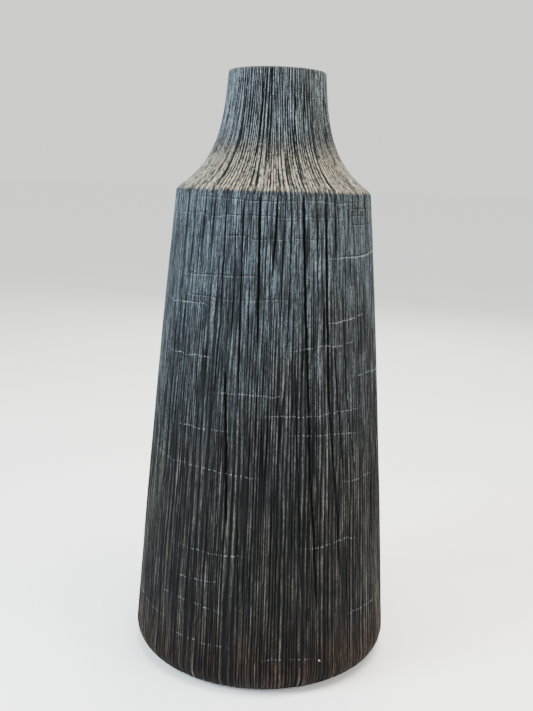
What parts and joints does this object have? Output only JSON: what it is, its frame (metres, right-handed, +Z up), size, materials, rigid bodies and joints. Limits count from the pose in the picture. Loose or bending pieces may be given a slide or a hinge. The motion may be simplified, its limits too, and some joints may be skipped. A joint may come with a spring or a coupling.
{
  "type": "vase",
  "caption": "Tall stoneware bottle vase with a tapered, combed body, a crisp shoulder edge and a narrow flared neck.",
  "frame": {"origin": "centre of the foot ring, on the surface the vase stands on", "axes": "+Z up along the axis of the vase, -Y towards the viewer"},
  "size_m": [0.16, 0.16, 0.356],
  "materials": {
    "stoneware": "unglazed, combed, matte charcoal black",
    "seam_clay": "unglazed smooth clay, under the glaze",
    "liner_glaze": "glossy black"
  },
  "bodies": {
    "root": {"floor_slab": "stoneware", "lower_wall": "stoneware", "upper_wall": "stoneware", "neck": "stoneware", "rim_coil": "stoneware", "floor_seam_coil": "seam_clay", "waist_seam_coil": "seam_clay", "shoulder_seam_coil": "seam_clay", "glaze_liner": "liner_glaze"}
  },
  "joints": []
}
